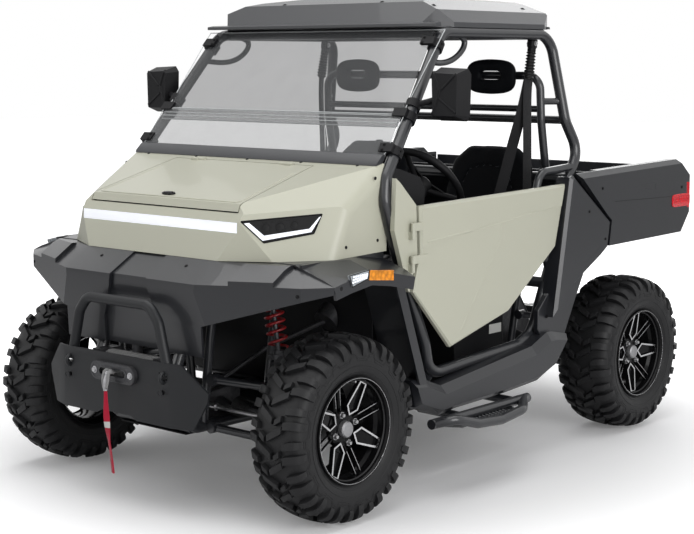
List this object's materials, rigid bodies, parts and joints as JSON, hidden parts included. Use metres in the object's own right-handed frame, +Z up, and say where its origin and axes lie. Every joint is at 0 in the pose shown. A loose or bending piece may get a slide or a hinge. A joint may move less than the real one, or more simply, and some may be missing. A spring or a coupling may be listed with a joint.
{
  "type": "side by side utv",
  "caption": "Two-seat side by side utility vehicle with roll cage, roof, windscreen, half doors, tilting cargo bed, winch bumper, lugged tyres and independent suspension.",
  "frame": {"origin": "on the ground under the middle of the vehicle's length and width", "axes": "+X to the driver's (left) side, +Y from the front to the rear, +Z up"},
  "size_m": [1.75, 2.8409, 1.871],
  "materials": {
    "tube": "satin black powder coat",
    "body_paint": "moulded-in sand beige, satin gloss",
    "charcoal": "textured charcoal plastic",
    "black_plastic": "matt black plastic",
    "tinted_screen": "light smoke polycarbonate",
    "lamp": "clear and dark lamp lenses with a white light bar",
    "red_lamp": "red lamp lens",
    "seat": "dark vinyl",
    "webbing": "black webbing",
    "strap": "red webbing",
    "mechanical": "black painted steel",
    "alloy": "cast aluminium",
    "spring": "red powder coat",
    "rubber": "tyre rubber",
    "wheel": "gloss black cast wheel with machined edges"
  },
  "bodies": {
    "chassis": {"front_frame": "tube", "frame": "tube", "rear_frame": "tube", "cage": "tube", "roof": "charcoal", "windscreen": "tinted_screen", "screen_clamps": "black_plastic", "front_body": "body_paint", "front_trunk": "black_plastic", "front_lamps": "lamp", "front_cladding": "charcoal", "cowl_panels": "body_paint", "side_cladding": "charcoal", "side_steps": "tube", "front_bumper": "tube", "winch": "mechanical", "winch_strap": "strap", "dashboard": "black_plastic", "steering_column": "mechanical", "floor_panels": "black_plastic", "seats": "seat", "headrests": "seat", "seat_belts": "webbing", "mirrors": "black_plastic", "power_units": "alloy", "axles": "mechanical", "suspension_arms": "tube", "shocks": "mechanical", "springs": "spring"},
    "door_left": {"door_left": "body_paint"},
    "door_right": {"door_right": "body_paint"},
    "hood": {"hood_lid": "body_paint"},
    "bed": {"bed_tub": "charcoal", "bed_sides": "charcoal", "tail_lamps": "red_lamp"},
    "tailgate": {"tailgate": "charcoal"},
    "steering_wheel": {"steering_wheel": "black_plastic"},
    "knuckle_left": {"knuckle_left": "alloy"},
    "knuckle_right": {"knuckle_right": "alloy"},
    "tie_rods": {"tie_rods": "mechanical"},
    "wheel_front_left": {"tyre_front_left": "rubber", "rim_front_left": "wheel"},
    "wheel_front_right": {"tyre_front_right": "rubber", "rim_front_right": "wheel"},
    "wheel_rear_left": {"tyre_rear_left": "rubber", "rim_rear_left": "wheel"},
    "wheel_rear_right": {"tyre_rear_right": "rubber", "rim_rear_right": "wheel"}
  },
  "joints": [
    {"name": "steer_left", "type": "hinge", "parent": "chassis", "child": "knuckle_left", "pos_m": [0.6, -0.96, 0.335], "axis": [0, 0, 1], "range_deg": [-25, 25]},
    {"name": "steer_right", "type": "hinge", "parent": "chassis", "child": "knuckle_right", "pos_m": [-0.6, -0.96, 0.335], "axis": [0, 0, 1], "range_deg": [-25, 25]},
    {"name": "rack_travel", "type": "slide", "parent": "chassis", "child": "tie_rods", "axis": [1, 0, 0], "range_m": [-0.046, 0.046]},
    {"name": "steering_turn", "type": "hinge", "parent": "chassis", "child": "steering_wheel", "pos_m": [0.34, -0.025, 1.117], "axis": [0, 0.7668, 0.6419], "range_deg": [-252, 252]},
    {"name": "door_left_swing", "type": "hinge", "parent": "chassis", "child": "door_left", "pos_m": [0.742, -0.588, 0.9], "axis": [0, 0, -1], "range_deg": [0, 70]},
    {"name": "door_right_swing", "type": "hinge", "parent": "chassis", "child": "door_right", "pos_m": [-0.742, -0.588, 0.9], "axis": [0, 0, 1], "range_deg": [0, 70]},
    {"name": "hood_lift", "type": "hinge", "parent": "chassis", "child": "hood", "pos_m": [0, -0.7135, 1.22263], "axis": [-1, 0, 0], "range_deg": [0, 65]},
    {"name": "bed_tilt", "type": "hinge", "parent": "chassis", "child": "bed", "pos_m": [0, 1.2, 0.778], "axis": [-1, 0, 0], "range_deg": [0, 38]},
    {"name": "tailgate_drop", "type": "hinge", "parent": "bed", "child": "tailgate", "pos_m": [0, 1.41, 0.8244], "axis": [-1, 0, 0], "range_deg": [0, 90]},
    {"name": "spin_front_left", "type": "hinge", "parent": "knuckle_left", "child": "wheel_front_left", "pos_m": [0.689, -0.96, 0.335], "axis": [1, 0, 0], "continuous": true},
    {"name": "spin_front_right", "type": "hinge", "parent": "knuckle_right", "child": "wheel_front_right", "pos_m": [-0.689, -0.96, 0.335], "axis": [1, 0, 0], "continuous": true},
    {"name": "spin_rear_left", "type": "hinge", "parent": "chassis", "child": "wheel_rear_left", "pos_m": [0.673, 0.96, 0.335], "axis": [1, 0, 0], "continuous": true},
    {"name": "spin_rear_right", "type": "hinge", "parent": "chassis", "child": "wheel_rear_right", "pos_m": [-0.673, 0.96, 0.335], "axis": [1, 0, 0], "continuous": true}
  ],
  "couplings": [
    {"joint": "steer_right", "follows": "steer_left", "ratio": 1},
    {"joint": "rack_travel", "follows": "steer_left", "m_per_rad": 0.1},
    {"joint": "steering_turn", "follows": "steer_left", "ratio": 10}
  ]
}
